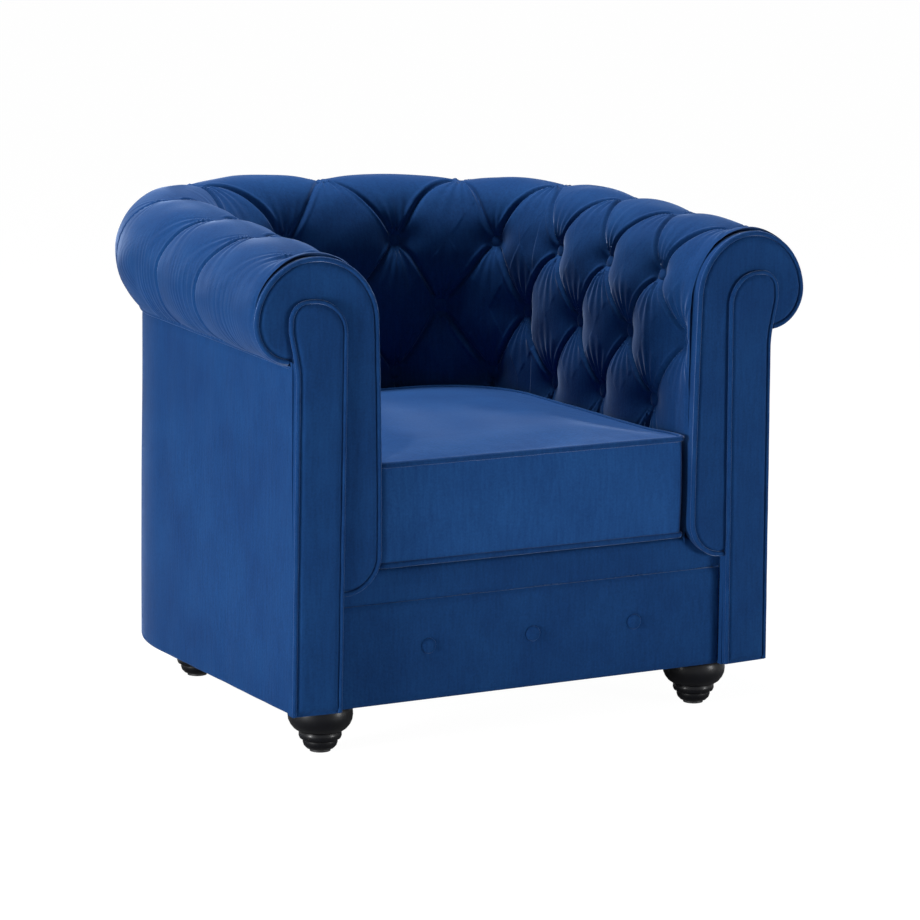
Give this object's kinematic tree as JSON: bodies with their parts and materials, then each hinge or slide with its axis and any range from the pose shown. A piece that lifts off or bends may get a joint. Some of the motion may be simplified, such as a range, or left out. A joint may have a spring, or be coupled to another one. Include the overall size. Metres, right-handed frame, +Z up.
{
  "type": "upholstered armchair",
  "caption": "Deep-buttoned tub armchair with rolled arms and back, scroll arm fronts, loose seat cushion and turned bun feet.",
  "frame": {"origin": "on the floor, under the middle of the chair's bounding box", "axes": "+X across the chair, to the right seen from the open front; the front faces -Y; +Z up"},
  "size_m": [0.9044, 0.79, 0.75],
  "materials": {
    "velvet": "short-pile velvet",
    "velvet_piping": "bias-cut velvet over cord",
    "velvet_buttons": "velvet-covered buttons",
    "turned_wood": "black satin lacquer",
    "frame_timber": "sawn hardwood and plywood",
    "foam": "polyurethane foam with fibre wrap",
    "wadding": "polyester wadding",
    "lining": "black non-woven lining",
    "webbing": "woven elastic webbing",
    "spring_steel": "oiled wire",
    "zinc_steel": "zinc plated",
    "zip": "nylon coil zip",
    "glide": "moulded nylon"
  },
  "bodies": {
    "chair": {"back_buttons": "velvet_buttons", "back_padding": "velvet", "back_posts": "frame_timber", "back_tack_rail": "frame_timber", "back_top_rail": "frame_timber", "corner_blocks": "frame_timber", "deck_cloth": "lining", "deck_pad": "wadding", "dust_cover": "lining", "foot_glides": "glide", "frame_screws": "zinc_steel", "front_band": "velvet", "front_buttons": "velvet_buttons", "front_left_foot": "turned_wood", "front_panel": "velvet", "front_rail": "frame_timber", "front_right_foot": "turned_wood", "hanger_bolts": "zinc_steel", "left_arm_buttons": "velvet_buttons", "left_arm_padding": "velvet", "left_arm_rail": "frame_timber", "left_arm_tack_rail": "frame_timber", "left_arm_upright": "frame_timber", "left_corner_padding": "velvet", "left_outside_arm": "velvet", "left_post_panel": "velvet", "left_post_piping": "velvet_piping", "left_scroll_board": "frame_timber", "left_scroll_facing": "velvet", "left_scroll_piping": "velvet_piping", "left_side_rail": "frame_timber", "outside_back": "velvet", "rear_left_foot": "turned_wood", "rear_rail": "frame_timber", "rear_right_foot": "turned_wood", "right_arm_buttons": "velvet_buttons", "right_arm_padding": "velvet", "right_arm_rail": "frame_timber", "right_arm_tack_rail": "frame_timber", "right_arm_upright": "frame_timber", "right_corner_padding": "velvet", "right_outside_arm": "velvet", "right_post_panel": "velvet", "right_post_piping": "velvet_piping", "right_scroll_board": "frame_timber", "right_scroll_facing": "velvet", "right_scroll_piping": "velvet_piping", "right_side_rail": "frame_timber", "roll_welt": "velvet_piping", "seat_springs": "spring_steel", "spring_clips": "zinc_steel", "spring_rail": "frame_timber", "tee_nuts": "zinc_steel", "webbing_straps": "webbing"},
    "seat_cushion": {"cushion_cover": "velvet", "cushion_core": "foam", "cushion_top_piping": "velvet_piping", "cushion_bottom_piping": "velvet_piping", "cushion_zip": "zip"}
  },
  "joints": [
    {"name": "cushion_lift", "type": "slide", "parent": "chair", "child": "seat_cushion", "axis": [0, 0, 1], "range_m": [0, 0.5]}
  ]
}
